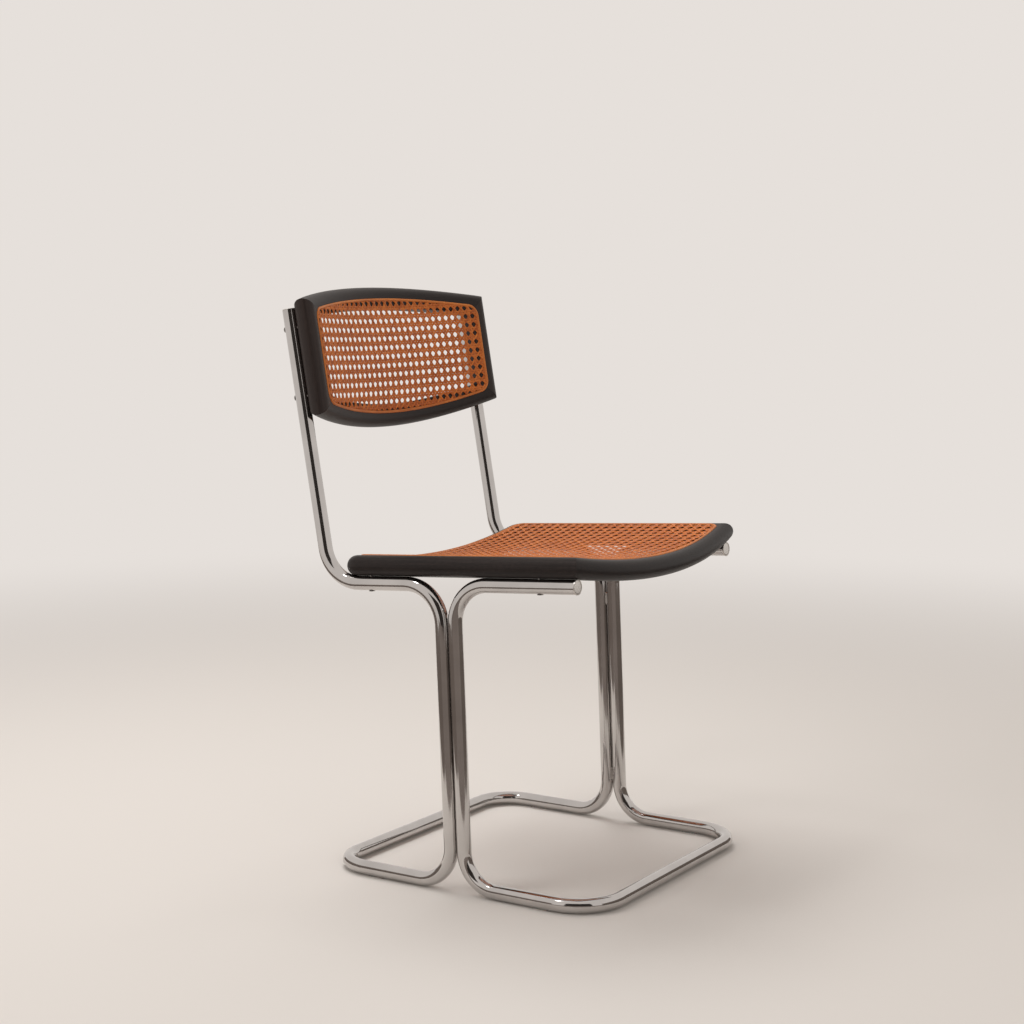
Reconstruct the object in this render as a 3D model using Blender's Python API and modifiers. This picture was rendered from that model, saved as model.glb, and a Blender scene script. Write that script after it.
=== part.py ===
"""Dining chair: two continuous bent tubes carry a dished cane seat and a curved cane backrest.

Metres, +Z up. The sitter faces -Y and the chair is symmetric about X = 0.
The floor is z = 0 and the origin is under the middle of the chair's outline.
"""
import math

import bmesh
import bpy
from mathutils import Matrix, Vector

# Clearances between pieces
SEAT_GAP = 0.0003
FIT_GAP = 0.0003
MITRE_GAP = 0.0006

# Tubes
TUBE_RADIUS = 0.010
TUBE_WALL = 0.0015
TUBE_SIDES = 12
SIDE_SPACING = 0.436
LEG_PAIR_GAP = 0.0012
LEG_LEAN = math.radians(2.5)
RUN_HEIGHT = 0.426
RUN_SLOPE = math.radians(3.7)
FRONT_RUN_REACH = 0.184
FLOOR_REACH_FRONT = 0.215
FLOOR_REACH_REAR = 0.215
UPRIGHT_REACH = 0.2155
UPRIGHT_LEAN = math.radians(10.1)
UPRIGHT_LENGTH = 0.386
UPRIGHT_BEND_RADIUS = 0.055
LEG_TOP_BEND_RADIUS = 0.055
FOOT_BEND_RADIUS = 0.050
FRONT_CORNER_RADIUS = 0.065
REAR_CORNER_RADIUS = 0.055
BEND_STEP = math.radians(15)

# Weld beads between the two tubes of a leg, on the side that faces the other leg
WELD_LENGTH = 0.020
WELD_REACH = 0.0046
WELD_ROOT = 0.0006
WELD_TOP_DROP = 0.0775
WELD_FOOT_RISE = 0.0637
WELD_STEPS = 6

# Caps on the front tube and plugs in the uprights
CAP_OVERHANG = 0.0005
CAP_THICKNESS = 0.0022
PLUG_INSET = 0.0003
PLUG_THICKNESS = 0.0015
SPIGOT_LENGTH = 0.012
STOPPER_EDGE = 0.0006

# Glides under the floor tubes
GLIDE_THICKNESS = 0.001
GLIDE_LENGTH = 0.024
GLIDE_WIDTH = 0.008
GLIDE_SETBACK = 0.020

# Seat frame
SEAT_RAIL_THICKNESS = 0.0284
SEAT_RAIL_WIDTH = 0.038
SEAT_SIDE_OVERHANG = 0.0122
SEAT_FRONT_OVERHANG = 0.0112
SEAT_FRONT_BOW = 0.020
SEAT_REAR_BOW = 0.0025
SEAT_REAR_CORNER_RADIUS = 0.028
SEAT_REAR_SETBACK = 0.0045
SEAT_DISH = 0.0205
SEAT_SPLINE_INSET = 0.0187

# Backrest frame
BACK_RAIL_THICKNESS = 0.0284
BACK_RAIL_WIDTH = 0.033
BACK_SIDE_OVERHANG = 0.0108
BACK_TOP_OVERHANG = 0.0137
BACK_HEIGHT = 0.1686
BACK_TOP_ARCH = 0.0196
BACK_BOTTOM_ARCH = 0.021
BACK_CURVE = 0.039
BACK_SPLINE_INSET = 0.0207

# Sections of the rails
INNER_EDGE_RADIUS = 0.004
SEAT_RAIL_STEPS = 12
BACK_RAIL_STEPS = 16
STILE_STEPS = 2
NOSE_STEPS = 6
INNER_EDGE_STEPS = 2
CORNER_STEPS = 4

# Cane and its spline cord
SPLINE_RADIUS = 0.0022
SPLINE_STANDING = 0.0016
SPLINE_CORNER_RADIUS = 0.014
SPLINE_SIDES = 8
CANE_THICKNESS = 0.0014
CANE_RIM = 0.012
BACK_CANE_GIVE = 0.006
SEAT_CANE_COLUMNS = 11
SEAT_CANE_ROWS = 10
BACK_CANE_COLUMNS = 14
BACK_CANE_ROWS = 5

# Dowels in the frame corners
DOWEL_RADIUS = 0.004
DOWEL_LENGTH = 0.020
DOWEL_INSET = 0.0255

# Screws through the tubes into the frames
SCREW_SHANK_RADIUS = 0.0020
SCREW_HEAD_RADIUS = 0.0044
SEAT_SCREW_HEAD_HEIGHT = 0.0012
BACK_SCREW_HEAD_HEIGHT = 0.0030
SCREW_CROWN_SHARE = 0.6
SCREW_RIM_SHARE = 0.4
SCREW_BITE = 0.014
SEAT_SCREW_FRONT_SETBACK = 0.0558
SEAT_SCREW_REAR_SETBACK = 0.071
BACK_SCREW_SETBACK = 0.0265
BACK_SCREW_SPACING = 0.0964
ROUND_STEPS = 12

# Points of a mesh that are closer than this are one point
MERGE_DISTANCE = 0.00005

SIDES = (("left", 1), ("right", -1))
TUBE_FLAT = TUBE_RADIUS * math.cos(math.pi / TUBE_SIDES)
FLOOR_TUBE_HEIGHT = GLIDE_THICKNESS + TUBE_RADIUS
TUBE_SEAT = TUBE_RADIUS + SEAT_GAP


def leg_line(height):
    """Y of the middle of the leg pair at a height."""
    return height * math.tan(LEG_LEAN)


def run_point(x, y):
    """Point on the upper runs' centre line."""
    return Vector((x, y, RUN_HEIGHT - (y - leg_line(RUN_HEIGHT)) * math.tan(RUN_SLOPE)))


def upright_foot(x):
    """Corner where an upright's centre line meets the upper run's."""
    return run_point(x, UPRIGHT_REACH)


def upright_direction():
    return Vector((0, math.sin(UPRIGHT_LEAN), math.cos(UPRIGHT_LEAN)))


def upright_bend_start():
    """Distance along the run, from y = 0, at which the tube starts to turn up."""
    turn = math.pi / 2 - UPRIGHT_LEAN + RUN_SLOPE
    return UPRIGHT_REACH / math.cos(RUN_SLOPE) - UPRIGHT_BEND_RADIUS * math.tan(turn / 2)


class Panel:
    """A wooden frame with cane, in its own axes: X across, Y along the tubes, Z out of its face.

    The tubes that carry it run along Y at Z = 0. The frame is bent so that its middle
    lies behind its sides by the dish, and its low and high edges are bowed outwards.
    """

    def __init__(self, low, high, overhang, low_bow, high_bow, dish, thickness, width, inset, steps):
        self.low = low
        self.high = high
        self.half_width = SIDE_SPACING / 2 + overhang
        self.low_bow = low_bow
        self.high_bow = high_bow
        self.low_radius = 0.0
        self.high_radius = 0.0
        self.dish = dish
        self.give = 0.0
        self.nose = thickness / 2
        self.width = width
        self.inset = inset
        self.steps = steps
        self.straight = self.half_width - self.nose
        slope = self.slope(self.straight)
        reach = TUBE_SEAT + self.nose - (SIDE_SPACING / 2 - self.straight) * math.sin(slope)
        self.lift = reach / math.cos(slope)

    def edge(self, end, across):
        """Y of the outer edge at the low (-1) or high (1) end."""
        share = 1 - (across / self.straight) ** 2
        if end < 0:
            return self.low - self.low_bow * share
        return self.high + self.high_bow * share

    def slope(self, across):
        """Turn of the face about Y at a distance across."""
        inside = min(abs(across), self.straight)
        return math.atan(2 * self.dish * inside / self.straight ** 2)

    def bent(self, across, along, out):
        """Place of a point of the flat frame once the frame is bent."""
        inside = min(abs(across), self.straight)
        beyond = abs(across) - inside
        turn = self.slope(across)
        x = inside + beyond * math.cos(turn) - out * math.sin(turn)
        drop = self.dish * (1 - (inside / self.straight) ** 2)
        z = self.lift - drop + beyond * math.sin(turn) + out * math.cos(turn)
        return Vector((math.copysign(x, across), along, z))

    def rounded(self, across, along, inset, low_radius, high_radius):
        """Turn the square corners of a line at an inset into round ones."""
        for end, radius in ((-1, low_radius), (1, high_radius)):
            centre = self.half_width - inset - radius
            past_side = abs(across) - centre
            past_end = inset + radius - end * (self.edge(end, across) - along)
            if past_side > 0 and past_end > 0:
                shrink = max(past_side, past_end) / math.hypot(past_side, past_end)
                across = math.copysign(centre + past_side * shrink, across)
                along = self.edge(end, across) - end * (inset + radius - past_end * shrink)
        return across, along

    def corner(self, across, along, out):
        """A point of the rails, with the frame's corners rounded and the frame bent."""
        across, along = self.rounded(across, along, 0.0, self.low_radius, self.high_radius)
        return self.bent(across, along, out)

    def section(self):
        """Rail section as (depth, out) points: a half-round outer edge and softened inner edges."""
        points = []
        for step in range(NOSE_STEPS + 1):
            angle = math.pi * (1.5 - step / NOSE_STEPS)
            points.append((self.nose + self.nose * math.cos(angle), self.nose * math.sin(angle)))
        for top, start in ((1, math.pi / 2), (-1, 0.0)):
            for step in range(INNER_EDGE_STEPS + 1):
                angle = start - math.pi / 2 * step / INNER_EDGE_STEPS
                depth = self.width - INNER_EDGE_RADIUS * (1 - math.cos(angle))
                out = top * (self.nose - INNER_EDGE_RADIUS) + INNER_EDGE_RADIUS * math.sin(angle)
                points.append((depth, out))
        return points

    def stations(self, steps, low_radius, high_radius):
        """Shares from -1 to 1 along a rail, closer together where a corner is rounded."""
        shares = [2 * step / steps - 1 for step in range(steps + 1)]
        for sign, radius in ((-1, low_radius), (1, high_radius)):
            if radius > 0:
                shares += [sign * (1 - radius / self.half_width * step / CORNER_STEPS)
                           for step in range(1, CORNER_STEPS + 1)]
        return sorted(shares)

    def rail(self, end):
        """The rail along the low (-1) or high (1) end, cut on its mitres."""
        radius = self.low_radius if end < 0 else self.high_radius

        def place(share, depth, out):
            across = share * (self.half_width - depth - MITRE_GAP / 2)
            return self.corner(across, self.edge(end, across) - end * depth, out)
        return swept(self.section(), self.stations(self.steps, radius, radius), place)

    def stile(self, sign):
        """The side rail on +X (1) or -X (-1), cut on its mitres."""
        def place(share, depth, out):
            across = sign * (self.half_width - depth)
            low = self.edge(-1, across) + depth + MITRE_GAP / 2
            high = self.edge(1, across) - depth - MITRE_GAP / 2
            return self.corner(across, low + (high - low) * (share + 1) / 2, out)
        return swept(self.section(), self.stations(STILE_STEPS, self.low_radius, self.high_radius), place)

    def spline_loop(self):
        """Centre line of the spline cord: four round corners joined by the bowed ends' runs."""
        out = self.nose + SPLINE_STANDING - SPLINE_RADIUS
        centre = self.half_width - self.inset - SPLINE_CORNER_RADIUS
        points = []
        for quarter, (side, end) in enumerate(((1, 1), (-1, 1), (-1, -1), (1, -1))):
            for step in range(CORNER_STEPS + 1):
                angle = math.pi / 2 * (quarter + step / CORNER_STEPS)
                across = side * centre + SPLINE_CORNER_RADIUS * math.cos(angle)
                depth = self.inset + SPLINE_CORNER_RADIUS * (1 - end * math.sin(angle))
                points.append(self.bent(across, self.edge(end, across) - end * depth, out))
            if side == end:
                for step in range(1, self.steps):
                    across = side * centre * (1 - 2 * step / self.steps)
                    points.append(self.bent(across, self.edge(end, across) - end * self.inset, out))
        return points

    def net_place(self, column, columns, row, rows):
        """Place of a net's corner: its rows follow the bowed ends and its corners are rounded."""
        margin = SPLINE_RADIUS + FIT_GAP
        inset = self.inset + margin
        radius = SPLINE_CORNER_RADIUS - margin
        half = self.half_width - inset
        across = strand_line(column, columns, -half, half)
        along = strand_line(row, rows, self.edge(-1, across) + inset, self.edge(1, across) - inset)
        across, along = self.rounded(across, along, inset, radius, radius)
        return self.bent(across, along, self.nose + SEAT_GAP + self.given(across, along))

    def given(self, across, along):
        """How far the cane leaves the frame's curve inside the rails, where it is stretched or has sagged."""
        side = across / (self.half_width - self.width)
        low = self.edge(-1, across) + self.width
        high = self.edge(1, across) - self.width
        end = (2 * along - low - high) / (high - low)
        return self.give * max(0.0, 1 - side ** 2) * max(0.0, 1 - end ** 2)

    def dowel_places(self):
        """Matrices of the corner dowels, each square to its mitre."""
        places = []
        for side in (1, -1):
            across = side * (self.half_width - DOWEL_INSET)
            for end in (-1, 1):
                middle = self.bent(across, self.edge(end, across) - end * DOWEL_INSET, 0.0)
                turn = Matrix.Rotation(-side * self.slope(across), 4, "Y")
                square = Matrix.Rotation(side * end * math.pi / 4, 4, "Z")
                lying = Matrix.Rotation(math.pi / 2, 4, "X")
                places.append(Matrix.Translation(middle) @ turn @ square @ lying)
        return places


def make_seat():
    low = -(FRONT_RUN_REACH / math.cos(RUN_SLOPE) + SEAT_FRONT_OVERHANG)
    high = upright_bend_start() - SEAT_REAR_SETBACK + SEAT_REAR_CORNER_RADIUS
    panel = Panel(low, high, SEAT_SIDE_OVERHANG, SEAT_FRONT_BOW, SEAT_REAR_BOW, SEAT_DISH,
                  SEAT_RAIL_THICKNESS, SEAT_RAIL_WIDTH, SEAT_SPLINE_INSET, SEAT_RAIL_STEPS)
    panel.high_radius = SEAT_REAR_CORNER_RADIUS
    return panel


def make_back():
    high = UPRIGHT_LENGTH + BACK_TOP_OVERHANG
    panel = Panel(high - BACK_HEIGHT, high, BACK_SIDE_OVERHANG, BACK_BOTTOM_ARCH, BACK_TOP_ARCH, BACK_CURVE,
                  BACK_RAIL_THICKNESS, BACK_RAIL_WIDTH, BACK_SPLINE_INSET, BACK_RAIL_STEPS)
    panel.give = BACK_CANE_GIVE
    return panel


def origin_shift():
    """Y that brings the middle of the chair's outline to the origin."""
    front = -(FLOOR_REACH_FRONT + TUBE_RADIUS)
    back = make_back()
    nose_line = back.edge(1, 0.0) - back.nose
    behind = (back.dish - back.lift) * math.cos(UPRIGHT_LEAN) + back.nose
    rear = upright_foot(0).y + nose_line * math.sin(UPRIGHT_LEAN) + behind
    return -(front + rear) / 2


def new_collection(name):
    collection = bpy.data.collections.new(name)
    bpy.context.scene.collection.children.link(collection)
    return collection


def new_material(name, colour, roughness, metallic=0.0):
    material = bpy.data.materials.new(name)
    material.use_nodes = True
    shader = material.node_tree.nodes["Principled BSDF"]
    shader.inputs["Base Color"].default_value = (*colour, 1.0)
    shader.inputs["Roughness"].default_value = roughness
    shader.inputs["Metallic"].default_value = metallic
    return material


class Workshop:
    """The chair's collections and materials, and the empties that its pieces hang on."""

    def __init__(self):
        for item in list(bpy.data.objects):
            bpy.data.objects.remove(item, do_unlink=True)
        self.parts = new_collection("dining_chair")
        self.cutters = new_collection("cutters")
        self.chrome = new_material("chromed_steel_tube", (0.60, 0.60, 0.61), 0.08, 1.0)
        self.bead = new_material("chromed_weld", (0.42, 0.42, 0.43), 0.30, 1.0)
        self.zinc = new_material("zinc_stopper", (0.52, 0.51, 0.50), 0.35, 0.8)
        self.lacquer = new_material("black_lacquered_beech", (0.020, 0.017, 0.015), 0.38)
        self.beech = new_material("bare_beech", (0.55, 0.36, 0.20), 0.60)
        self.cane = new_material("woven_cane", (0.46, 0.16, 0.06), 0.50)
        self.reed = new_material("reed_spline", (0.56, 0.22, 0.08), 0.50)
        self.nylon = new_material("grey_nylon", (0.33, 0.31, 0.28), 0.55)
        self.steel = new_material("plated_screw", (0.45, 0.44, 0.43), 0.30, 1.0)
        self.origin = self.empty("chair_origin", Matrix.Translation((0, origin_shift(), 0)), None)
        run = Matrix.Translation(run_point(0, 0)) @ Matrix.Rotation(-RUN_SLOPE, 4, "X")
        self.seat_axes = self.empty("seat_axes", run, self.origin)
        upright = Matrix.Translation(upright_foot(0)) @ Matrix.Rotation(math.pi / 2 - UPRIGHT_LEAN, 4, "X")
        self.back_axes = self.empty("back_axes", upright, self.origin)

    def empty(self, name, matrix, parent):
        item = bpy.data.objects.new(name, None)
        self.parts.objects.link(item)
        item.parent = parent
        item.matrix_local = matrix
        return item

    def add(self, name, data, material, parent=None, matrix=None):
        """Link a piece under its parent and give it its material."""
        item = bpy.data.objects.new(name, data)
        data.materials.clear()
        data.materials.append(material)
        self.parts.objects.link(item)
        item.parent = parent or self.origin
        item.matrix_local = matrix or Matrix.Identity(4)
        return item

    def add_cutter(self, name, data, parent, matrix=None):
        item = bpy.data.objects.new(name, data)
        self.cutters.objects.link(item)
        item.parent = parent
        item.matrix_local = matrix or Matrix.Identity(4)
        item.hide_render = True
        item.display_type = "WIRE"
        return item


def finished(bm, name, sharp_angle=math.radians(40)):
    """Turn a bmesh into a smooth-shaded mesh with outward faces."""
    bmesh.ops.recalc_face_normals(bm, faces=bm.faces)
    mesh = bpy.data.meshes.new(name)
    bm.to_mesh(mesh)
    bm.free()
    mesh.shade_smooth()
    mesh.set_sharp_from_angle(angle=sharp_angle)
    return mesh


def cut(item, *cutters):
    for cutter in cutters:
        modifier = item.modifiers.new("cut_" + cutter.name, "BOOLEAN")
        modifier.operation = "DIFFERENCE"
        modifier.object = cutter


def cylinders(name, radius, length, places):
    """A mesh of closed cylinders, one along the Z of each place and centred on it."""
    bm = bmesh.new()
    for place in places:
        bmesh.ops.create_cone(bm, cap_ends=True, segments=ROUND_STEPS, radius1=radius, radius2=radius,
                              depth=length, matrix=place)
    return finished(bm, name)


def swept(section, stations, place):
    """Extrude a section face from station to station, then move each vertex to its place."""
    bm = bmesh.new()
    face = bm.faces.new([bm.verts.new((stations[0], depth, out)) for depth, out in section])
    for number, (before, after) in enumerate(zip(stations, stations[1:])):
        grown = bmesh.ops.extrude_face_region(bm, geom=[face])["geom"]
        moved = [item for item in grown if isinstance(item, bmesh.types.BMVert)]
        bmesh.ops.translate(bm, verts=moved, vec=(after - before, 0, 0))
        if number > 0:
            bm.faces.remove(face)
        face = next(item for item in grown if isinstance(item, bmesh.types.BMFace))
    for vert in bm.verts:
        vert.co = place(*vert.co)
    return bm


def filleted(corners, radii):
    """Points of a path through corners, each inner corner rounded to its radius."""
    points = [corners[0]]
    for before, corner, after, radius in zip(corners, corners[1:], corners[2:], radii):
        back = (before - corner).normalized()
        ahead = (after - corner).normalized()
        half_angle = back.angle(ahead) / 2
        centre = corner + (back + ahead).normalized() * radius / math.sin(half_angle)
        start = corner + back * radius / math.tan(half_angle) - centre
        finish = corner + ahead * radius / math.tan(half_angle) - centre
        turn = start.angle(finish)
        steps = max(2, round(turn / BEND_STEP))
        for step in range(steps + 1):
            leaving = math.sin(turn * (1 - step / steps)) / math.sin(turn)
            coming = math.sin(turn * step / steps) / math.sin(turn)
            points.append(centre + start * leaving + finish * coming)
    points.append(corners[-1])
    return points


def round_curve(name, points, radius, sides, cyclic):
    """A round-sectioned POLY curve through points, with filled ends."""
    curve = bpy.data.curves.new(name, "CURVE")
    curve.dimensions = "3D"
    curve.bevel_depth = radius
    curve.bevel_resolution = sides // 2 - 2
    curve.use_fill_caps = not cyclic
    spline = curve.splines.new("POLY")
    spline.points.add(len(points) - 1)
    for target, point in zip(spline.points, points):
        target.co = (*point, 1.0)
    spline.use_cyclic_u = cyclic
    return curve


def mesh_of_curve(shop, curve):
    """The mesh that a curve makes, with doubled points welded."""
    item = bpy.data.objects.new(curve.name, curve)
    shop.parts.objects.link(item)
    bpy.context.view_layer.update()
    graph = bpy.context.evaluated_depsgraph_get()
    bm = bmesh.new()
    bm.from_mesh(bpy.data.meshes.new_from_object(item.evaluated_get(graph)))
    bpy.data.objects.remove(item)
    bmesh.ops.remove_doubles(bm, verts=bm.verts, dist=MERGE_DISTANCE)
    return finished(bm, curve.name)


def add_tube(shop, name, points):
    """An open-ended tube with the frame's radius and wall."""
    curve = round_curve(name, points, TUBE_RADIUS, TUBE_SIDES, False)
    curve.use_fill_caps = False
    item = shop.add(name, mesh_of_curve(shop, curve), shop.chrome)
    wall = item.modifiers.new("wall", "SOLIDIFY")
    wall.thickness = TUBE_WALL
    wall.offset = -1.0
    wall.use_even_offset = True
    return item


def leg_offset():
    """Distance along Y from the middle of a leg pair to one tube's centre line."""
    return (TUBE_RADIUS + LEG_PAIR_GAP / 2) / math.cos(LEG_LEAN)


def leg_foot(x, offset):
    """Corner where a leg's centre line meets its floor tube's."""
    return Vector((x, leg_line(FLOOR_TUBE_HEIGHT) + offset, FLOOR_TUBE_HEIGHT))


def leg_head(x, offset):
    """Corner where a leg's centre line meets its upper run's."""
    return run_point(x, leg_line(RUN_HEIGHT) + offset)


def whole_path(half, radii):
    """A left-hand path joined to its mirror image, with its bends."""
    mirrored = [Vector((-point.x, point.y, point.z)) for point in reversed(half)]
    return filleted(half + mirrored, radii + radii[::-1])


def build_tubes(shop):
    x = SIDE_SPACING / 2
    top = upright_foot(x) + upright_direction() * UPRIGHT_LENGTH
    rear = [top, upright_foot(x), leg_head(x, leg_offset()), leg_foot(x, leg_offset()),
            Vector((x, FLOOR_REACH_REAR, FLOOR_TUBE_HEIGHT))]
    rear_radii = [UPRIGHT_BEND_RADIUS, LEG_TOP_BEND_RADIUS, FOOT_BEND_RADIUS, REAR_CORNER_RADIUS]
    front = [run_point(x, -FRONT_RUN_REACH), leg_head(x, -leg_offset()), leg_foot(x, -leg_offset()),
             Vector((x, -FLOOR_REACH_FRONT, FLOOR_TUBE_HEIGHT))]
    front_radii = [LEG_TOP_BEND_RADIUS, FOOT_BEND_RADIUS, FRONT_CORNER_RADIUS]
    rear_tube = add_tube(shop, "rear_tube", whole_path(rear, rear_radii))
    front_tube = add_tube(shop, "front_tube", whole_path(front, front_radii))
    return rear_tube, front_tube


def add_turned(shop, name, profile, material, parent, matrix):
    """A turned piece from a profile of (radius, height) points that starts and ends on its axis."""
    bm = bmesh.new()
    verts = [bm.verts.new((radius, 0, height)) for radius, height in profile]
    for start, end in zip(verts, verts[1:]):
        bm.edges.new((start, end))
    mesh = bpy.data.meshes.new(name)
    bm.to_mesh(mesh)
    bm.free()
    item = shop.add(name, mesh, material, parent, matrix)
    spin = item.modifiers.new("turn", "SCREW")
    spin.steps = ROUND_STEPS
    spin.render_steps = ROUND_STEPS
    spin.use_merge_vertices = True
    spin.merge_threshold = 0.0001
    return item


def stopper_profile(radius, thickness):
    """A disc with a softened rim and a spigot that fits the tube, the tube's end at height 0."""
    spigot = TUBE_FLAT - TUBE_WALL - FIT_GAP
    return [(0, thickness), (radius - STOPPER_EDGE, thickness), (radius, thickness - STOPPER_EDGE),
            (radius, SEAT_GAP), (spigot, SEAT_GAP), (spigot, -SPIGOT_LENGTH), (0, -SPIGOT_LENGTH)]


def build_stoppers(shop):
    """Caps on the front tube's ends and plugs in the uprights' tops."""
    along_run = Matrix.Rotation(math.pi / 2 - RUN_SLOPE, 4, "X")
    along_upright = Matrix.Rotation(-UPRIGHT_LEAN, 4, "X")
    cap = stopper_profile(TUBE_RADIUS + CAP_OVERHANG, CAP_THICKNESS)
    plug = stopper_profile(TUBE_RADIUS - PLUG_INSET, PLUG_THICKNESS)
    for side, sign in SIDES:
        x = sign * SIDE_SPACING / 2
        end = Matrix.Translation(run_point(x, -FRONT_RUN_REACH)) @ along_run
        add_turned(shop, "end_cap_" + side, cap, shop.zinc, None, end)
        top = Matrix.Translation(upright_foot(x) + upright_direction() * UPRIGHT_LENGTH) @ along_upright
        add_turned(shop, "upright_plug_" + side, plug, shop.zinc, None, top)


def weld_bead(name, inner):
    """A bead in the valley between two tubes that lie side by side, on their inner side along X."""
    middle = TUBE_RADIUS + LEG_PAIR_GAP / 2
    front = []
    rear = []
    for step in range(WELD_STEPS + 1):
        across = inner * ((WELD_REACH + WELD_ROOT) * step / WELD_STEPS - WELD_ROOT)
        half = middle - math.sqrt(TUBE_SEAT ** 2 - across ** 2)
        front.append((-half, across))
        rear.append((half, across))
    half_length = WELD_LENGTH / 2
    outline = [(y, x) for y, x in front + rear[::-1]]
    return finished(swept(outline, [-half_length, half_length], lambda z, y, x: (x, y, z)), name)


def build_welds(shop):
    heights = (("top", RUN_HEIGHT - WELD_TOP_DROP), ("foot", FLOOR_TUBE_HEIGHT + WELD_FOOT_RISE))
    lean = Matrix.Rotation(-LEG_LEAN, 4, "X")
    for side, sign in SIDES:
        for place, height in heights:
            name = "leg_weld_" + place + "_" + side
            spot = Matrix.Translation((sign * SIDE_SPACING / 2, leg_line(height), height)) @ lean
            shop.add(name, weld_bead(name, -sign), shop.bead, None, spot)


def build_glides(shop):
    """Pads with flat soles, hollowed to fit under the floor tubes."""
    front = -(FLOOR_REACH_FRONT - FRONT_CORNER_RADIUS - GLIDE_SETBACK)
    rear = FLOOR_REACH_REAR - REAR_CORNER_RADIUS - GLIDE_SETBACK
    bore = TUBE_SEAT / math.cos(math.pi / ROUND_STEPS)
    lying = Matrix.Translation((0, 0, FLOOR_TUBE_HEIGHT)) @ Matrix.Rotation(math.pi / 2, 4, "X")
    for side, sign in SIDES:
        for end, y in (("front", front), ("rear", rear)):
            name = "glide_" + end + "_" + side
            spot = Matrix.Translation((sign * SIDE_SPACING / 2, y, 0))
            bm = bmesh.new()
            bmesh.ops.create_cube(bm, size=1.0)
            bmesh.ops.scale(bm, verts=bm.verts, vec=(GLIDE_WIDTH, GLIDE_LENGTH, FLOOR_TUBE_HEIGHT))
            bmesh.ops.translate(bm, verts=bm.verts, vec=(0, 0, FLOOR_TUBE_HEIGHT / 2))
            pad = shop.add(name, finished(bm, name), shop.nylon, None, spot)
            hollow = cylinders(name + "_hollow", bore, GLIDE_LENGTH * 2, [lying])
            cut(pad, shop.add_cutter(name + "_hollow", hollow, shop.origin, spot))


def strand_line(index, gaps, low, high):
    """Place of a net's line: a rim at each end, and strands and gaps of equal width between."""
    if index == 0:
        return low
    if index == 2 * gaps + 1:
        return high
    return low + CANE_RIM + (index - 1) * (high - low - 2 * CANE_RIM) / (2 * gaps - 1)


def build_cane(shop, name, panel, columns, rows, parent):
    """A net on the frame's face: a grid without its gaps, bent to the frame and given thickness."""
    across = 2 * columns + 1
    along = 2 * rows + 1
    bm = bmesh.new()
    bmesh.ops.create_grid(bm, x_segments=across, y_segments=along, size=0.5)
    gaps = []
    for face in bm.faces:
        middle = face.calc_center_median()
        column = int((middle.x + 0.5) * across)
        row = int((middle.y + 0.5) * along)
        if column % 2 and row % 2:
            gaps.append(face)
    bmesh.ops.delete(bm, geom=gaps, context="FACES_ONLY")
    for vert in bm.verts:
        column = round((vert.co.x + 0.5) * across)
        row = round((vert.co.y + 0.5) * along)
        vert.co = panel.net_place(column, columns, row, rows)
    mesh = bpy.data.meshes.new(name)
    bm.to_mesh(mesh)
    bm.free()
    item = shop.add(name, mesh, shop.cane, parent)
    thickness = item.modifiers.new("thickness", "SOLIDIFY")
    thickness.thickness = CANE_THICKNESS
    thickness.offset = 1.0


def build_panel(shop, title, panel, columns, rows, parent):
    """The rails with their spline groove and dowel holes, the dowels, the cane and the spline."""
    loop = panel.spline_loop()
    channel = round_curve(title + "_groove", loop, SPLINE_RADIUS + FIT_GAP, SPLINE_SIDES, True)
    groove = shop.add_cutter(title + "_groove", mesh_of_curve(shop, channel), parent)
    places = panel.dowel_places()
    holes = cylinders(title + "_dowel_holes", DOWEL_RADIUS + FIT_GAP, DOWEL_LENGTH + 2 * FIT_GAP, places)
    holes = shop.add_cutter(title + "_dowel_holes", holes, parent)
    ends = (("_front_rail", "_rear_rail") if title == "seat" else ("_bottom_rail", "_top_rail"))
    rails = {}
    for end, suffix in zip((-1, 1), ends):
        name = title + suffix
        rails[name] = shop.add(name, finished(panel.rail(end), name), shop.lacquer, parent)
    for side, sign in SIDES:
        name = title + "_side_rail_" + side
        rails[name] = shop.add(name, finished(panel.stile(sign), name), shop.lacquer, parent)
    for rail in rails.values():
        cut(rail, groove, holes)
    for number, place in enumerate(places, 1):
        name = title + "_dowel_" + str(number)
        shop.add(name, cylinders(name, DOWEL_RADIUS, DOWEL_LENGTH, [place]), shop.beech, parent)
    build_cane(shop, title + "_cane", panel, columns, rows, parent)
    cord = round_curve(title + "_spline", loop, SPLINE_RADIUS, SPLINE_SIDES, True)
    shop.add(title + "_spline", cord, shop.reed, parent)
    return rails


def build_screws(shop, title, head_height, stations, tubes, rails, parent):
    """Screws from behind the tubes, through them and into the frame's side rails."""
    shank = 2 * TUBE_SEAT + SCREW_BITE
    profile = [(0, head_height), (SCREW_HEAD_RADIUS * SCREW_CROWN_SHARE, head_height),
               (SCREW_HEAD_RADIUS, head_height * SCREW_RIM_SHARE), (SCREW_HEAD_RADIUS, 0),
               (SCREW_SHANK_RADIUS, 0), (SCREW_SHANK_RADIUS, -shank), (0, -shank)]
    turned_over = Matrix.Rotation(math.pi, 4, "X")
    holes = []
    for side, sign in SIDES:
        for label, y in stations:
            head = Matrix.Translation((sign * SIDE_SPACING / 2, y, -TUBE_SEAT)) @ turned_over
            name = title + "_screw_" + label + "_" + side
            add_turned(shop, name, profile, shop.steel, parent, head)
            holes.append(head @ Matrix.Translation((0, 0, -shank / 2)))
    name = title + "_screw_holes"
    drill = cylinders(name, SCREW_SHANK_RADIUS + FIT_GAP, shank + 2 * FIT_GAP, holes)
    drill = shop.add_cutter(name, drill, parent)
    for item in list(tubes) + [rails[title + "_side_rail_" + side] for side, sign in SIDES]:
        cut(item, drill)


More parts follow.
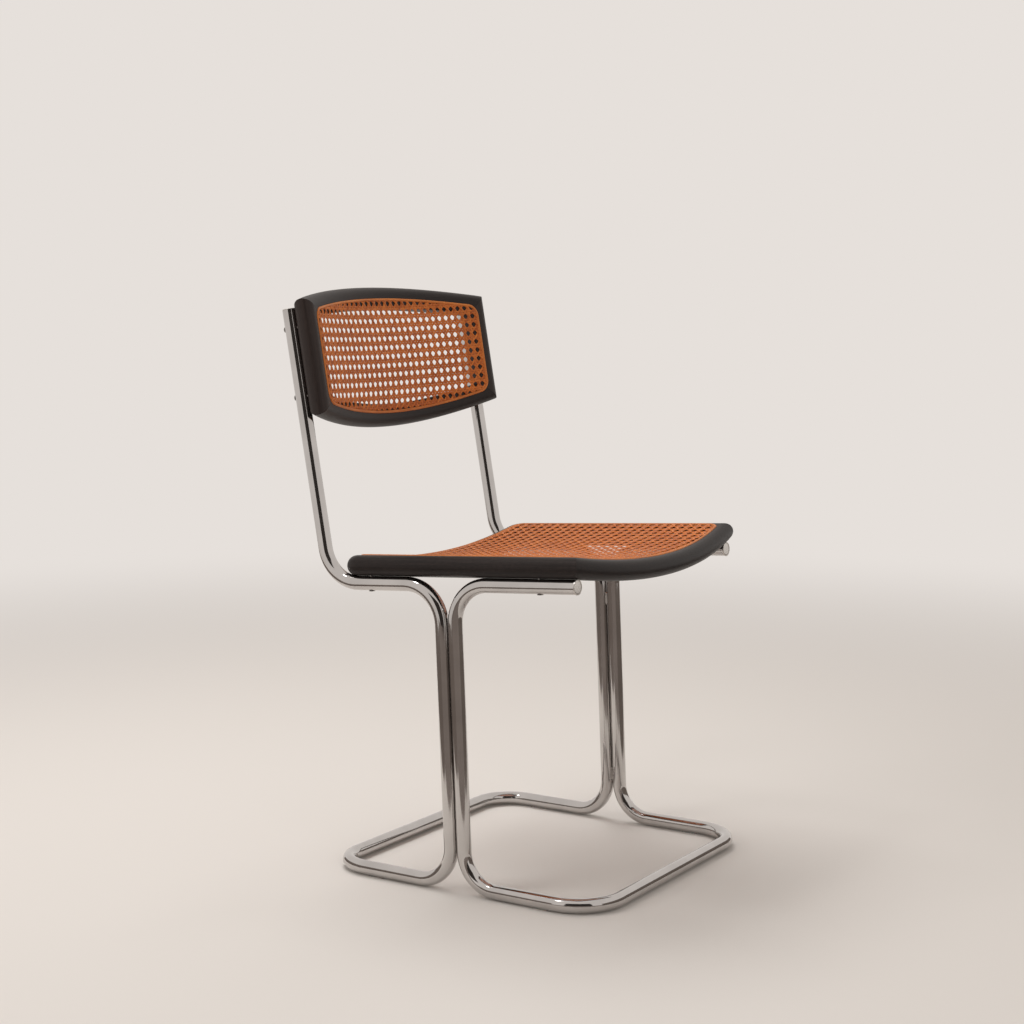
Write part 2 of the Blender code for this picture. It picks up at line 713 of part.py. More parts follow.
def build_chair():
    shop = Workshop()
    rear_tube, front_tube = build_tubes(shop)
    build_stoppers(shop)
    build_welds(shop)
    build_glides(shop)
    seat_rails = build_panel(shop, "seat", make_seat(), SEAT_CANE_COLUMNS, SEAT_CANE_ROWS, shop.seat_axes)
    back_rails = build_panel(shop, "back", make_back(), BACK_CANE_COLUMNS, BACK_CANE_ROWS, shop.back_axes)
    front_screw = (SEAT_SCREW_FRONT_SETBACK - FRONT_RUN_REACH) / math.cos(RUN_SLOPE)
    rear_screw = (UPRIGHT_REACH - SEAT_SCREW_REAR_SETBACK) / math.cos(RUN_SLOPE)
    build_screws(shop, "seat", SEAT_SCREW_HEAD_HEIGHT, (("front", front_screw), ("rear", rear_screw)),
                 (front_tube, rear_tube), seat_rails, shop.seat_axes)
    upper_screw = UPRIGHT_LENGTH - BACK_SCREW_SETBACK
    lower_screw = upper_screw - BACK_SCREW_SPACING
    build_screws(shop, "back", BACK_SCREW_HEAD_HEIGHT, (("lower", lower_screw), ("upper", upper_screw)),
                 (rear_tube,), back_rails, shop.back_axes)


build_chair()
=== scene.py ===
import math

import bmesh
import bpy
import numpy as np
from mathutils import Matrix, Vector


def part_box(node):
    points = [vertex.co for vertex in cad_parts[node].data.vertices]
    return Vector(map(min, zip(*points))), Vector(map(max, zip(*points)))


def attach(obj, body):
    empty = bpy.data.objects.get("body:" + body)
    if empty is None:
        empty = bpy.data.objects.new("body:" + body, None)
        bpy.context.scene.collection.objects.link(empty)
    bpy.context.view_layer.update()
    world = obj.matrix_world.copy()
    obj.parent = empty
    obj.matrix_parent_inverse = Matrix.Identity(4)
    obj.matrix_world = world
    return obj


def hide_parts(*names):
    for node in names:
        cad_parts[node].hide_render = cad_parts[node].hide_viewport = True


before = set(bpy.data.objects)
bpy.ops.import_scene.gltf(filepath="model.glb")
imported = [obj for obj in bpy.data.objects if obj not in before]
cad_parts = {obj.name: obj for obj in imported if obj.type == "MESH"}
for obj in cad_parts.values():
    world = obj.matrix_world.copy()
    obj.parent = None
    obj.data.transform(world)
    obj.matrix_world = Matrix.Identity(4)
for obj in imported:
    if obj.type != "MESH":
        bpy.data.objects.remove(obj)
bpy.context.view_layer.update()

# Tube path, as the CAD model has it
TUBE_RADIUS = 0.010
TUBE_WALL = 0.0015
TUBE_FACETS = 40
BEND_STEP = math.radians(4)
SIDE_SPACING = 0.436
SIDES = {"left": 1, "right": -1}
LEG_PAIR_GAP = 0.0012
LEG_LEAN = math.radians(2.5)
RUN_HEIGHT = 0.426
RUN_SLOPE = math.radians(3.7)
FRONT_RUN_REACH = 0.184
FLOOR_REACH = 0.215
FLOOR_TUBE_HEIGHT = 0.011
UPRIGHT_REACH = 0.2155
UPRIGHT_LEAN = math.radians(10.1)
UPRIGHT_LENGTH = 0.386
UPRIGHT_BEND_RADIUS = 0.055
LEG_TOP_BEND_RADIUS = 0.055
FOOT_BEND_RADIUS = 0.050
FRONT_CORNER_RADIUS = 0.065
REAR_CORNER_RADIUS = 0.055
SEAT_GAP = 0.0003

# Weld beads, which taper to a share of their reach at both ends, the shorter the higher the power, and bite a
# little into the tubes
WELD_LENGTH = 0.020
WELD_REACH = 0.0046
WELD_ROOT = 0.0006
WELD_BITE = 0.0001
WELD_END_SHARE = 0.6
WELD_END_POWER = 6
WELD_HEIGHTS = {"top": RUN_HEIGHT - 0.0775, "foot": FLOOR_TUBE_HEIGHT + 0.0637}
WELD_RIPPLE = 0.00012
WELD_RIPPLES = 11
STEPS_PER_RIPPLE = 6
WELD_STEPS_ACROSS = 8

# Caps on the front tube and plugs in the uprights: a domed face inside a rolled rim, whose arc starts a
# little below level, in half turns
CAP_RADIUS = 0.0105
CAP_THICKNESS = 0.0022
PLUG_RADIUS = 0.0097
PLUG_THICKNESS = 0.0015
SPIGOT_LENGTH = 0.012
RIM_RADIUS = 0.0007
RIM_STEPS = 8
RIM_START = 1.05
FACE_SHARE = 0.84
FACE_DROP = 0.00055
FACE_DOME = 0.0002
DOME_STEPS = 6
ROUND_STEPS = 40

# Wooden frames. Each has a low end (front or bottom) and a high end, an overhang past the tubes' centre lines
# at its sides, bowed ends, round or square high corners, a dish across, rails of a width, a spline cord some
# way in from its edge, and cane that may give way out of the frame's curve
SEAT_SHAPE = {"overhang": 0.0122, "low_bow": 0.020, "high_bow": 0.0025, "high_radius": 0.028, "dish": 0.0205,
              "width": 0.038, "inset": 0.0187, "give": 0.0}
BACK_SHAPE = {"overhang": 0.0108, "low_bow": 0.021, "high_bow": 0.0196, "high_radius": 0.0, "dish": 0.039,
              "width": 0.033, "inset": 0.0207, "give": 0.006}
SEAT_FRONT_OVERHANG = 0.0112
SEAT_REAR_SETBACK = 0.0045
BACK_TOP_OVERHANG = 0.0137
BACK_HEIGHT = 0.1686
RAIL_THICKNESS = 0.0284
RAIL_STEPS = 56
STILE_STEPS = 12
CORNER_STEPS = 12
NOSE_STEPS = 20
EDGE_STEPS = 4
CURVE_POINTS = 801
INNER_EDGE_RADIUS = 0.004
MITRE_GAP = 0.00012

# Each board's grain is cut from its own place, and a few boards carry painted light: the back's side rails
# are painted paler where their faces turn to the light, and the seat's front rail is painted darker with
# shade.
GRAIN_PLACES = 17
GRAIN_SPACING = 0.07
PAINTED_BOARD_LIGHT = {"back_side_rail_left": 0.24, "back_side_rail_right": 0.24, "seat_front_rail": -0.06}

# Spline cord and its groove
SPLINE_RADIUS = 0.0022
SPLINE_STANDING = 0.0016
SPLINE_CORNER_RADIUS = 0.014
SPLINE_CORNER_STEPS = 10
SPLINE_SIDES = 16
SPLINE_TONE = 0.55
GROOVE_CLEARANCE = 0.00025

# Cane, woven of single and paired strands: the pitch and the phase of its pairs, across and along
SEAT_WEAVE = ((0.0160, 0.0144), (0.0062, 0.0072))
BACK_WEAVE = ((0.0142, 0.01335), (0.00966, 0.01207))
PAIR_OFFSET = 0.00155
PAIR_WAVE = 0.0003
DIAGONAL_WAVE = 0.0006
WEAVE_HEIGHT = 0.0011
POINTS_PER_PITCH = 6
POINTS_PER_CROSSING = 4

# A strand: its section as shares of half its width and of its thickness, the range of its tone, how its end
# stops short of the cord's centre line and sinks under the cord, and the halvings of the search for its end
STRAND_WIDTH = 0.0027
STRAND_THICKNESS = 0.0005
STRAND_SECTION = ((-1.0, -0.5), (1.0, -0.5), (0.86, 0.2), (0.0, 0.5), (-0.86, 0.2))
STRAND_TONES = (0.2, 0.8)
END_SETBACK = 0.0011
END_DROP = 0.0012
END_SLOPE = 0.0012
HALVINGS = 24

# Screws through the tubes into the frames: the height of their heads and their places along the tubes
SCREW_HEAD_RADIUS = 0.0044
SCREW_SHANK_RADIUS = 0.0020
SCREW_BITE = 0.014
SCREW_RIM_SHARE = 0.25
SCREW_DOME_POWER = 0.8
SCREW_ROUND_STEPS = 32
RECESS_LENGTH = 0.0046
RECESS_WIDTH = 0.0009
RECESS_SHARE = 0.8
RECESS_TURN = 0.4
SEAT_SCREW_HEAD = 0.0012
SEAT_SCREWS = {"front": (0.0558 - FRONT_RUN_REACH) / math.cos(RUN_SLOPE),
               "rear": (UPRIGHT_REACH - 0.071) / math.cos(RUN_SLOPE)}
BACK_SCREW_HEAD = 0.0030
BACK_SCREWS = {"lower": UPRIGHT_LENGTH - 0.1229, "upper": UPRIGHT_LENGTH - 0.0265}

# Glides under the floor tubes
GLIDE_EDGE_RADIUS = 0.0004
GLIDE_EDGE_STEPS = 3
GLIDE_CLEARANCE = 0.0001
GLIDE_BORE_SIDES = 64

# Points closer than a distance are one point, and edges sharper than an angle are shaded as creases
MERGE_DISTANCE = 0.00002
PIECE_CREASE = math.radians(35)
STRAND_CREASE = math.radians(60)

# Patterns, in repeats per metre. Smears on the chrome are 45 mm long. The grit of both platings, 1.1 and
# 1.4 mm, and the nylon's mottle, 2.5 mm, are coarser than the real ones, or they wouldn't show
CHROME_SMEARS = 22.0
WELD_GRIT = 900.0
ZINC_GRAIN = 700.0
NYLON_MOTTLE = 400.0
# Beech: flecks of 1.7 mm on a dowel; under the lacquer, streaks of 110 by 2.4 mm and flecks of 7 by 0.7 mm
DOWEL_FLECKS = 600.0
BEECH_STREAKS = (9.0, 420.0, 420.0)
BEECH_FLECKS = (140.0, 1400.0, 1400.0)
# Rattan: fibres of 17 by 0.4 mm and stains of 36 by 8 mm; the third number sets the strands apart
RATTAN_FIBRES = (60.0, 2600.0, 37.0)
RATTAN_STAINS = (28.0, 120.0, 91.0)
FINE_RELIEF = 0.0001
GRAIN_RELIEF = 0.0002

# The photograph's camera
CAMERA_PLACE = (-2.4007, -1.5027, 0.8324)
CAMERA_YAW = math.radians(-57.83)
CAMERA_PITCH = math.radians(6.66)
CAMERA_LENS = 69.32
CAMERA_SENSOR = 36.0

# Studio: the floor fades into the background between two distances. Each lamp has a place, a size, a power
# and whether the chrome shows it
BACKGROUND_COLOUR = "#E6E0DB"
FLOOR_COLOUR = "#D9D3CD"
FLOOR_SIZE = 24.0
FLOOR_FADE_START = 0.9
FLOOR_FADE_END = 3.4
WORLD_LIGHT = 0.62
LAMP_AIM = Vector((0, 0, 0.45))
LAMPS = {"top_soft_box": ((0.4, 0.9, 2.6), (1.8, 1.2), 40.0, False),
         "window": ((-2.2, 1.6, 1.7), (1.2, 1.6), 16.0, False),
         "fill": ((-1.9, -2.3, 1.4), (1.6, 1.2), 18.0, False),
         "sparkle": ((-0.9, 0.6, 2.3), (0.3, 0.3), 3.0, True)}

# Painted reflections: dark glowing boards, no lamps, that only reflections show and that paint dark bands
# into the chrome. They stand outside the camera's view, so that the pale floor in it is also what the chrome
# shows: a sloping board below its lower edge, a low one along either side and a tall one behind the camera.
# Each has a
# colour and corners: towards the camera, to its right, up
REFLECTION_BOARDS = (("#887D76", ((0.72, -1.30, 0.0), (0.72, 1.30, 0.0), (1.40, 1.30, 0.24), (1.40, -1.30, 0.24))),
          ("#6E645D", ((0.72, 0.60, 0.0), (-1.00, 1.05, 0.0), (-1.00, 1.05, 0.30), (0.72, 0.60, 0.30))),
          ("#786D66", ((0.72, -0.60, 0.0), (-1.00, -1.05, 0.0), (-1.00, -1.05, 0.26), (0.72, -0.60, 0.26))),
          ("#3A3532", ((3.10, -1.60, 0.0), (3.10, 1.60, 0.0), (3.10, 1.60, 3.20), (3.10, -1.60, 3.20))))


def linear(hex_colour):
    """An sRGB hex colour as the linear colour that a socket takes."""
    parts = [int(hex_colour[place:place + 2], 16) / 255 for place in (1, 3, 5)]
    return (*[part / 12.92 if part < 0.04045 else ((part + 0.055) / 1.055) ** 2.4 for part in parts], 1.0)


def add_node(tree, kind, inputs=None, **settings):
    """Add a node: settings are its properties, inputs its socket values or the sockets linked to them."""
    node = tree.nodes.new(kind)
    for name, value in settings.items():
        setattr(node, name, value)
    for name, value in (inputs or {}).items():
        if isinstance(value, bpy.types.NodeSocket):
            tree.links.new(value, node.inputs[name])
        else:
            node.inputs[name].default_value = value
    return node


def new_finish(name, **sockets):
    """A material with a Principled shader, whose constant sockets are given."""
    material = bpy.data.materials.new(name)
    material.use_nodes = True
    shader = material.node_tree.nodes["Principled BSDF"]
    for socket, value in sockets.items():
        shader.inputs[socket.replace("_", " ")].default_value = value
    return material


def patterned(material, shade, tones, colours, gloss, roughness, height=None, strength=0.0,
              relief=FINE_RELIEF):
    """Let patterns drive a finish: shade its colour, dark to light between two tones, gloss its roughness
    and height its relief."""
    tree = material.node_tree
    shader = tree.nodes["Principled BSDF"]
    blend = add_node(tree, "ShaderNodeValToRGB", {"Fac": shade})
    for stop, tone, colour in zip(blend.color_ramp.elements, tones, colours):
        stop.position = tone
        stop.color = linear(colour)
    tree.links.new(blend.outputs["Color"], shader.inputs["Base Color"])
    low, high = roughness
    rubbed = add_node(tree, "ShaderNodeMapRange", {"Value": gloss, "To Min": low, "To Max": high})
    tree.links.new(rubbed.outputs["Result"], shader.inputs["Roughness"])
    if height is not None:
        dents = add_node(tree, "ShaderNodeBump", {"Height": height, "Strength": strength, "Distance": relief})
        tree.links.new(dents.outputs["Normal"], shader.inputs["Normal"])
    return material


def mottled(name, scale, detail, tones, colours, roughness, strength=0.0, **sockets):
    """A finish whose colour, roughness and any relief follow one fine noise on the piece."""
    material = new_finish(name, **sockets)
    tree = material.node_tree
    place = add_node(tree, "ShaderNodeTexCoord").outputs["Object"]
    noise = add_node(tree, "ShaderNodeTexNoise", {"Vector": place, "Scale": scale, "Detail": detail})
    value = noise.outputs["Fac"]
    return patterned(material, value, tones, colours, value, roughness, value if strength else None, strength)


def stretched_noise(tree, place, scale, **inputs):
    """Noise that repeats at its own rate along each direction of a place."""
    drawn = add_node(tree, "ShaderNodeMapping", {"Vector": place, "Scale": scale}).outputs["Vector"]
    return add_node(tree, "ShaderNodeTexNoise", {"Vector": drawn, "Scale": 1.0, **inputs}).outputs["Fac"]


def black_lacquered_beech():
    """Beech stained near black under satin lacquer: brown shows in long grain streaks and short flecks, and
    painted light makes a few boards paler and painted shade one darker.
    """
    material = new_finish("black_lacquered_beech", IOR=1.5, Specular_IOR_Level=0.22)
    tree = material.node_tree
    grain = add_node(tree, "ShaderNodeAttribute", attribute_name="grain").outputs["Vector"]
    streak = stretched_noise(tree, grain, BEECH_STREAKS, Detail=5.0, Distortion=0.4)
    fleck = stretched_noise(tree, grain, BEECH_FLECKS, Detail=2.0)
    mixed = add_node(tree, "ShaderNodeMath", {0: streak, 1: fleck}, operation="MULTIPLY").outputs["Value"]
    # Painted light and shade per board, added to the grain's tone: paler back side rails, a darker seat front
    # rail
    board = add_node(tree, "ShaderNodeAttribute", attribute_name="painted_board_light").outputs["Fac"]
    tone = add_node(tree, "ShaderNodeMath", {0: mixed, 1: board}, operation="ADD").outputs["Value"]
    return patterned(material, tone, (0.10, 0.60), ("#161110", "#332A27"), streak, (0.34, 0.50), mixed, 0.12,
                     GRAIN_RELIEF)


def rattan(name, colours):
    """Split rattan bark: a hard glossy skin with fine lengthwise fibres, each strand of its own tone."""
    material = new_finish(name, IOR=1.5, Specular_IOR_Level=0.25)
    tree = material.node_tree
    strand = add_node(tree, "ShaderNodeAttribute", attribute_name="strand").outputs["Vector"]
    tone = add_node(tree, "ShaderNodeSeparateXYZ", {"Vector": strand}).outputs["Z"]
    fibre = stretched_noise(tree, strand, RATTAN_FIBRES, Detail=3.0)
    for part in (stretched_noise(tree, strand, RATTAN_STAINS, Detail=2.0), fibre):
        tone = add_node(tree, "ShaderNodeMath", {0: part, 1: tone}, operation="ADD").outputs["Value"]
    mean = add_node(tree, "ShaderNodeMath", {0: tone, 1: 3.0}, operation="DIVIDE").outputs["Value"]
    return patterned(material, mean, (0.28, 0.72), colours, fibre, (0.28, 0.50), fibre, 0.25)


def background_rays(tree):
    """1 for the rays that show the plain background: from the camera, and by way of metal and glass."""
    path = add_node(tree, "ShaderNodeLightPath")
    seen = path.outputs["Is Camera Ray"]
    for ray in ("Is Glossy Ray", "Is Transmission Ray"):
        most = add_node(tree, "ShaderNodeMath", {0: seen, 1: path.outputs[ray]}, operation="MAXIMUM")
        seen = most.outputs["Value"]
    return seen


def bare_material(name):
    """A material with an empty tree, for the studio."""
    material = bpy.data.materials.new(name)
    material.use_nodes = True
    material.node_tree.nodes.clear()
    return material


def floor_paint():
    """Pale matt studio floor, which fades into the plain background away from the chair."""
    material = bare_material("studio_floor")
    tree = material.node_tree
    place = add_node(tree, "ShaderNodeTexCoord").outputs["Object"]
    reach = add_node(tree, "ShaderNodeVectorMath", {0: place}, operation="LENGTH").outputs["Value"]
    fade = add_node(tree, "ShaderNodeMapRange", {"Value": reach, "From Min": FLOOR_FADE_START,
                                                 "From Max": FLOOR_FADE_END}, interpolation_type="SMOOTHSTEP")
    share = add_node(tree, "ShaderNodeMath", {0: fade.outputs["Result"], 1: background_rays(tree)},
                     operation="MULTIPLY")
    matt = add_node(tree, "ShaderNodeBsdfDiffuse", {"Color": linear(FLOOR_COLOUR)})
    glow = add_node(tree, "ShaderNodeEmission", {"Color": linear(BACKGROUND_COLOUR)})
    mixed = add_node(tree, "ShaderNodeMixShader", {"Fac": share.outputs["Value"], 1: matt.outputs["BSDF"],
                                                   2: glow.outputs["Emission"]})
    add_node(tree, "ShaderNodeOutputMaterial", {"Surface": mixed.outputs["Shader"]})
    return material


def reflection_glow(name, colour):
    """An even dark glow, which no lamp gives: a painted reflection for boards that only reflections show."""
    material = bare_material(name)
    glow = add_node(material.node_tree, "ShaderNodeEmission", {"Color": linear(colour)})
    add_node(material.node_tree, "ShaderNodeOutputMaterial", {"Surface": glow.outputs["Emission"]})
    return material


# Bright chromium plate over polished steel tube: a near mirror with faint handling smears
chrome = mottled("chromed_steel", CHROME_SMEARS, 4.0, (0.3, 0.7), ("#C0BDBB", "#CDCAC8"), (0.05, 0.13),
                 Metallic=1.0)
# The same plate over a rippled weld bead, a little rougher in its valleys
weld_plate = mottled("chromed_weld", WELD_GRIT, 3.0, (0.35, 0.65), ("#8E8985", "#ADA8A4"), (0.10, 0.22), 0.1,
                     Metallic=1.0)
# Pressed and turned steel with a zinc plate: fine grain and a soft reflection
cap_zinc = mottled("zinc_plated_cap", ZINC_GRAIN, 4.0, (0.3, 0.7), ("#C9C5C0", "#D5D1CC"), (0.24, 0.32), 0.15,
                   Metallic=1.0)
screw_zinc = mottled("zinc_plated_screw", ZINC_GRAIN, 4.0, (0.3, 0.7), ("#8C8986", "#B6B3B0"), (0.26, 0.42),
                     0.15, Metallic=1.0)
# Moulded nylon: translucent grey, slightly mottled and faintly glossy
nylon = mottled("grey_nylon", NYLON_MOTTLE, 3.0, (0.3, 0.7), ("#8F8A85", "#A8A39D"), (0.45, 0.62), 0.2,
                IOR=1.53, Subsurface_Weight=0.3, Subsurface_Scale=0.002)
# Turned beech for the dowels: pale pinkish wood with fine flecks
beech = mottled("bare_beech", DOWEL_FLECKS, 3.0, (0.3, 0.7), ("#B98A5E", "#D6AC7F"), (0.5, 0.7), IOR=1.5)
lacquer = black_lacquered_beech()
panel_cane = rattan("stained_rattan_cane", ("#8B3A12", "#DD8139"))
spline_reed = rattan("stained_rattan_core", ("#93461D", "#D9853F"))


def link_piece(name, mesh, finish, nodes, crease=PIECE_CREASE):
    """Put a finished mesh into the scene as a piece of the chair that stands for CAD nodes."""
    mesh.materials.clear()
    mesh.materials.append(finish)
    mesh.shade_smooth()
    mesh.set_sharp_from_angle(angle=crease)
    piece = bpy.data.objects.new(name, mesh)
    bpy.context.scene.collection.objects.link(piece)
    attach(piece, "root")
    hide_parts(*nodes)


def mesh_from(bm, name):
    """Close a bmesh into a mesh whose faces point outwards."""
    bmesh.ops.recalc_face_normals(bm, faces=bm.faces)
    mesh = bpy.data.meshes.new(name)
    bm.to_mesh(mesh)
    bm.free()
    return mesh


def evaluated_mesh(item):
    """The mesh that an object makes with its modifiers or its bevel; the object goes."""
    bpy.context.view_layer.update()
    graph = bpy.context.evaluated_depsgraph_get()
    mesh = bpy.data.meshes.new_from_object(item.evaluated_get(graph))
    bpy.data.objects.remove(item)
    return mesh


def scratch_object(name, data):
    """An object that is in the scene while it is worked on."""
    item = bpy.data.objects.new(name, data)
    bpy.context.scene.collection.objects.link(item)
    return item


def carved(item, *cutters):
    """The mesh of an object with the cutters taken out of it; the object goes."""
    for cutter in cutters:
        cut = item.modifiers.new("cut", "BOOLEAN")
        cut.operation = "DIFFERENCE"
        cut.object = cutter
    return evaluated_mesh(item)


def only(kind, items):
    """The vertices, edges or faces among what an operator has made."""
    return [item for item in items if isinstance(item, kind)]


def coordinates(mesh):
    """A mesh's points as an array."""
    flat = np.empty(len(mesh.vertices) * 3, dtype=np.float32)
    mesh.vertices.foreach_get("co", flat)
    return flat.reshape(-1, 3).astype(float)


def set_coordinates(mesh, points):
    mesh.vertices.foreach_set("co", points.astype(np.float32).ravel())
    mesh.update()


def set_attribute(mesh, name, values):
    layer = mesh.attributes.new(name, "FLOAT_VECTOR", "POINT")
    layer.data.foreach_set("vector", values.astype(np.float32).ravel())


def leg_line(height):
    """Y of the middle of the leg pair at a height, before the shift to the origin."""
    return height * math.tan(LEG_LEAN)


def run_point(x, y):
    """Point on the upper runs' centre line, before the shift to the origin."""
    return Vector((x, y, RUN_HEIGHT - (y - leg_line(RUN_HEIGHT)) * math.tan(RUN_SLOPE)))


def upright_top(x):
    """Middle of an upright's open top, before the shift to the origin."""
    upwards = Vector((0, math.sin(UPRIGHT_LEAN), math.cos(UPRIGHT_LEAN)))
    return run_point(x, UPRIGHT_REACH) + upwards * UPRIGHT_LENGTH


# The CAD model's shift to the origin, read off the front of the floor tube
ORIGIN_SHIFT = Matrix.Translation((0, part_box("front_tube")[0].y + FLOOR_REACH + TUBE_RADIUS, 0))


def bend_tube(corners, radii):
    """An open tube drawn from a ring of points: pushed straight, and spun round each bend."""
    bm = bmesh.new()
    heading = (corners[1] - corners[0]).normalized()
    start = Matrix.Translation(corners[0]) @ heading.to_track_quat("Z", "Y").to_matrix().to_4x4()
    bmesh.ops.create_circle(bm, segments=TUBE_FACETS, radius=TUBE_RADIUS, matrix=start)
    edges = list(bm.edges)
    here = corners[0]
    for corner, after, radius in zip(corners[1:], corners[2:] + [None], radii + [None]):
        goal = corner
        if after is not None:
            back = (here - corner).normalized()
            ahead = (after - corner).normalized()
            half_angle = back.angle(ahead) / 2
            goal = corner + back * radius / math.tan(half_angle)
        made = bmesh.ops.extrude_edge_only(bm, edges=edges)["geom"]
        bmesh.ops.translate(bm, verts=only(bmesh.types.BMVert, made), vec=goal - here)
        edges = only(bmesh.types.BMEdge, made)
        here = goal
        if after is not None:
            centre = corner + (back + ahead).normalized() * radius / math.sin(half_angle)
            turn = math.pi - 2 * half_angle
            made = bmesh.ops.spin(bm, geom=edges, cent=centre, axis=ahead.cross(back), angle=turn,
                                  steps=math.ceil(turn / BEND_STEP), use_duplicate=False)["geom_last"]
            edges = only(bmesh.types.BMEdge, made)
            here = corner + ahead * radius / math.tan(half_angle)
    bmesh.ops.remove_doubles(bm, verts=bm.verts, dist=MERGE_DISTANCE)
    return bm


def finish_tube(name, half, radii):
    """A mirrored pair of half paths bent as one tube, with its wall turned inwards."""
    mirrored = [Vector((-point.x, point.y, point.z)) for point in reversed(half)]
    bm = bend_tube(half + mirrored, radii + radii[::-1])
    bmesh.ops.transform(bm, matrix=ORIGIN_SHIFT, verts=bm.verts)
    item = scratch_object(name, mesh_from(bm, name))
    wall = item.modifiers.new("wall", "SOLIDIFY")
    wall.thickness = TUBE_WALL
    wall.offset = -1.0
    link_piece(name + "_chromed", evaluated_mesh(item), chrome, [name])


def make_tubes():
    """The rear tube, from upright to upright, and the front tube, from cap to cap."""
    x = SIDE_SPACING / 2
    # Along Y from the middle of a leg pair to one tube's centre line
    offset = (TUBE_RADIUS + LEG_PAIR_GAP / 2) / math.cos(LEG_LEAN)
    floor = FLOOR_TUBE_HEIGHT
    rear = [upright_top(x), run_point(x, UPRIGHT_REACH), run_point(x, leg_line(RUN_HEIGHT) + offset),
            Vector((x, leg_line(floor) + offset, floor)), Vector((x, FLOOR_REACH, floor))]
    finish_tube("rear_tube", rear, [UPRIGHT_BEND_RADIUS, LEG_TOP_BEND_RADIUS, FOOT_BEND_RADIUS,
                                    REAR_CORNER_RADIUS])
    front = [run_point(x, -FRONT_RUN_REACH), run_point(x, leg_line(RUN_HEIGHT) - offset),
             Vector((x, leg_line(floor) - offset, floor)), Vector((x, -FLOOR_REACH, floor))]
    finish_tube("front_tube", front, [LEG_TOP_BEND_RADIUS, FOOT_BEND_RADIUS, FRONT_CORNER_RADIUS])


def swept(section, stations):
    """A flat section extruded from station to station along X, left in (station, Y, Z) places."""
    bm = bmesh.new()
    face = bm.faces.new([bm.verts.new((stations[0], depth, out)) for depth, out in section])
    for number, (before, after) in enumerate(zip(stations, stations[1:])):
        grown = bmesh.ops.extrude_face_region(bm, geom=[face])["geom"]
        bmesh.ops.translate(bm, verts=only(bmesh.types.BMVert, grown), vec=(after - before, 0, 0))
        if number > 0:
            bm.faces.remove(face)
        face = only(bmesh.types.BMFace, grown)[0]
    return bm


def place_on_bead(vert, sign):
    """Move a vertex of a flat bead, given as (along, which tube, share of its reach), to its place."""
    along, tube, share = vert.co
    ripple = math.sin(math.pi * WELD_RIPPLES * (along / WELD_LENGTH + 0.5)) ** 2
    swell = math.sqrt(max(0.0, 1 - (2 * along / WELD_LENGTH) ** WELD_END_POWER))
    reach = WELD_REACH * (WELD_END_SHARE + (1 - WELD_END_SHARE) * swell) - WELD_RIPPLE * ripple + WELD_ROOT
    across = share * reach - WELD_ROOT
    hollow = math.sqrt((TUBE_RADIUS - WELD_BITE) ** 2 - across ** 2)
    vert.co = (-sign * across, tube * (TUBE_RADIUS + LEG_PAIR_GAP / 2 - hollow), along)


def make_welds():
    """Polished beads in the valley between the two tubes of a leg, faintly rippled, tapering at both ends."""
    stations = np.linspace(-WELD_LENGTH / 2, WELD_LENGTH / 2, WELD_RIPPLES * STEPS_PER_RIPPLE + 1).tolist()
    shares = [step / WELD_STEPS_ACROSS for step in range(WELD_STEPS_ACROSS + 1)]
    outline = [(-1.0, share) for share in shares] + [(1.0, share) for share in reversed(shares)]
    for side, sign in SIDES.items():
        for place, height in WELD_HEIGHTS.items():
            bm = swept(outline, stations)
            for vert in bm.verts:
                place_on_bead(vert, sign)
            spot = Matrix.Translation((sign * SIDE_SPACING / 2, leg_line(height), height))
            bmesh.ops.transform(bm, matrix=ORIGIN_SHIFT @ spot @ Matrix.Rotation(-LEG_LEAN, 4, "X"),
                                verts=bm.verts)
            name = f"leg_weld_{place}_{side}"
            link_piece(name + "_bead", mesh_from(bm, name), weld_plate, [name])


def turned(profile, place, steps=ROUND_STEPS):
    """A bmesh of a profile of (radius, height) points spun round Z, then put in its place."""
    bm = bmesh.new()
    verts = [bm.verts.new((radius, 0, height)) for radius, height in profile]
    edges = [bm.edges.new(pair) for pair in zip(verts, verts[1:])]
    bmesh.ops.spin(bm, geom=verts + edges, cent=(0, 0, 0), axis=(0, 0, 1), angle=2 * math.pi, steps=steps,
                   use_merge=True, use_duplicate=False)
    bmesh.ops.remove_doubles(bm, verts=bm.verts, dist=MERGE_DISTANCE)
    bmesh.ops.transform(bm, matrix=place, verts=bm.verts)
    return bm


def stopper_profile(radius, thickness):
    """Domed disc with a rolled rim and a shallow step inside it, and a spigot that goes into the tube."""
    profile = []
    for step in range(DOME_STEPS + 1):
        share = step / DOME_STEPS
        profile.append((radius * FACE_SHARE * share, thickness - FACE_DROP + FACE_DOME * (1 - share ** 2)))
    for step in range(RIM_STEPS + 1):
        angle = math.pi * (RIM_START - step / RIM_STEPS)
        profile.append((radius - RIM_RADIUS + RIM_RADIUS * math.cos(angle),
                        thickness - RIM_RADIUS + RIM_RADIUS * max(0.0, math.sin(angle))))
    spigot = TUBE_RADIUS - TUBE_WALL - SEAT_GAP
    return profile + [(radius, SEAT_GAP), (spigot, SEAT_GAP), (spigot, -SPIGOT_LENGTH), (0, -SPIGOT_LENGTH)]


def make_stoppers():
    """Zinc caps on the front tube's open ends and plugs in the tops of the uprights."""
    along_run = Matrix.Rotation(math.pi / 2 - RUN_SLOPE, 4, "X")
    along_upright = Matrix.Rotation(-UPRIGHT_LEAN, 4, "X")
    for side, sign in SIDES.items():
        x = sign * SIDE_SPACING / 2
        for title, end, turn, radius, thickness in (
                ("end_cap", run_point(x, -FRONT_RUN_REACH), along_run, CAP_RADIUS, CAP_THICKNESS),
                ("upright_plug", upright_top(x), along_upright, PLUG_RADIUS, PLUG_THICKNESS)):
            name = f"{title}_{side}"
            disc = turned(stopper_profile(radius, thickness), ORIGIN_SHIFT @ Matrix.Translation(end) @ turn)
            link_piece(name + "_pressed", mesh_from(disc, title), cap_zinc, [name])


